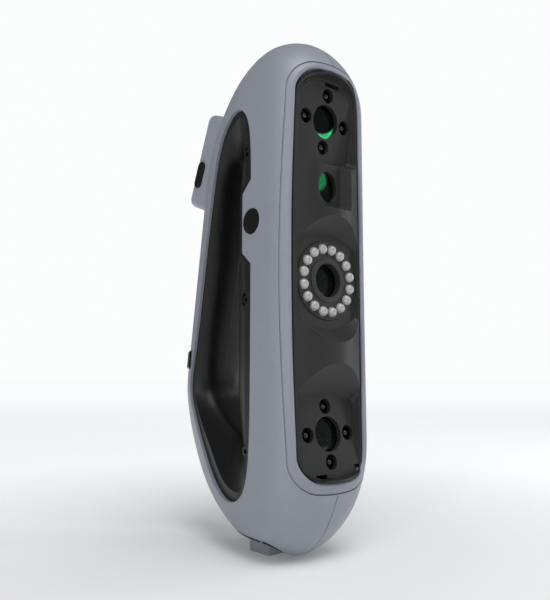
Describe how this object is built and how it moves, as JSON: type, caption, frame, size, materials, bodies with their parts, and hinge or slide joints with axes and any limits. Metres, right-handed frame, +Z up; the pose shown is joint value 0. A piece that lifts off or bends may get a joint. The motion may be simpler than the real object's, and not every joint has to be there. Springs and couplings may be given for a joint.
{
  "type": "handheld scanner",
  "caption": "Upright handheld 3-D scanner with a grip loop behind, a front optics panel with cameras, a projector and a ring of lights, and a control pod.",
  "frame": {"origin": "centre of the bounding box on the plane that the foot stands on", "axes": "+Z up, the lenses face -Y, +X is to the right of a viewer who faces the lenses"},
  "size_m": [0.0558, 0.1204, 0.2524],
  "materials": {
    "shell_grey": "satin moulded polycarbonate",
    "bezel_grey": "satin moulded polycarbonate",
    "core_black": "satin",
    "panel_black": "fine satin",
    "plate_black": "satin",
    "badge_black": "gloss",
    "key_black": "gloss",
    "button_rubber": "matte",
    "switch_plastic": "matte",
    "led_white": "white diffusing dome",
    "led_clear": "clear epoxy dome",
    "lens_barrel": "black anodised",
    "lens_glass": "coated",
    "coated_glass": "green anti-reflection coating",
    "display_glass": "gloss",
    "camera_metal": "black anodised",
    "frame_metal": "machined",
    "screw_steel": "black oxide",
    "port_metal": "nickel plated",
    "circuit_board": "green solder mask"
  },
  "bodies": {
    "scanner_body": {"badge_left": "badge_black", "badge_right": "badge_black", "bottom_camera_housing": "camera_metal", "bottom_lens_barrel": "lens_barrel", "bottom_lens_glass": "lens_glass", "bottom_sensor_board": "circuit_board", "bottom_tracking_board": "plate_black", "bottom_tracking_leds": "led_clear", "core_left": "core_black", "core_right": "core_black", "core_screws": "screw_steel", "data_port": "port_metal", "foot_block": "shell_grey", "frame_screws": "screw_steel", "front_bezel": "bezel_grey", "grip_band": "core_black", "grip_left": "core_black", "grip_right": "core_black", "heat_sink": "frame_metal", "internal_frame": "frame_metal", "main_board": "circuit_board", "optics_panel": "panel_black", "pod_board": "circuit_board", "pod_display": "display_glass", "pod_housing": "shell_grey", "pod_switches": "switch_plastic", "port_insert": "switch_plastic", "projector_engine": "camera_metal", "projector_lens": "coated_glass", "ring_led_board": "circuit_board", "ring_led_plate": "plate_black", "ring_leds": "led_white", "shell_left": "shell_grey", "shell_right": "shell_grey", "texture_camera_housing": "camera_metal", "texture_lens_barrel": "lens_barrel", "texture_lens_glass": "lens_glass", "texture_sensor_board": "circuit_board", "top_camera_housing": "camera_metal", "top_lens_barrel": "lens_barrel", "top_lens_glass": "coated_glass", "top_sensor_board": "circuit_board", "top_tracking_board": "plate_black", "top_tracking_leds": "led_clear"},
    "scan_button": {"scan_button": "button_rubber"},
    "plus_key": {"plus_key": "button_rubber"},
    "minus_key": {"minus_key": "button_rubber"},
    "side_key": {"side_key": "key_black"}
  },
  "joints": [
    {"name": "scan_button_push", "type": "slide", "parent": "scanner_body", "child": "scan_button", "axis": [0, -0.9198, -0.3923], "range_m": [0, 0.0015], "stiffness_N_per_m": 1200},
    {"name": "plus_key_push", "type": "slide", "parent": "scanner_body", "child": "plus_key", "axis": [0, -0.9198, -0.3923], "range_m": [0, 0.0008], "stiffness_N_per_m": 1500},
    {"name": "minus_key_push", "type": "slide", "parent": "scanner_body", "child": "minus_key", "axis": [0, -0.9198, -0.3923], "range_m": [0, 0.0008], "stiffness_N_per_m": 1500},
    {"name": "side_key_push", "type": "slide", "parent": "scanner_body", "child": "side_key", "axis": [1, 0, 0], "range_m": [0, 0.0008], "stiffness_N_per_m": 1500}
  ]
}
